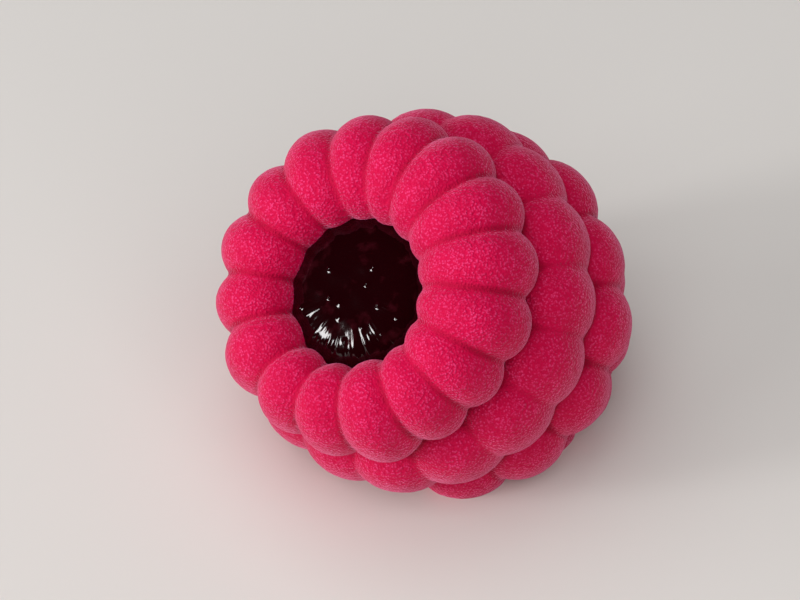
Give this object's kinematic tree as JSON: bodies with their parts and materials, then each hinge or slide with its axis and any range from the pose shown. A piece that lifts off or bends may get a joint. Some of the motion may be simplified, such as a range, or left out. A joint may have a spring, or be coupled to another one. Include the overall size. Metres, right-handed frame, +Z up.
{
  "type": "raspberry-shaped mousse dessert",
  "caption": "Moulded mousse in the shape of a large raspberry, lying tilted on a flat foot, with glossy berry gel in its hollow.",
  "frame": {"origin": "centre of the base of the bounding box, on the surface that the dessert stands on", "axes": "+Z up, -Y towards the side that the mouth faces, +X to the right of someone who looks into the mouth"},
  "size_m": [0.0624, 0.0704, 0.0572],
  "materials": {
    "velvet_mousse": "matt raspberry red with a fine sprayed velvet grain and a pale pink sheen",
    "berry_gel": "wet gloss, nearly black burgundy, with fine wrinkles near its edge"
  },
  "bodies": {
    "root": {"mousse_body": "velvet_mousse", "berry_gel": "berry_gel"}
  },
  "joints": []
}
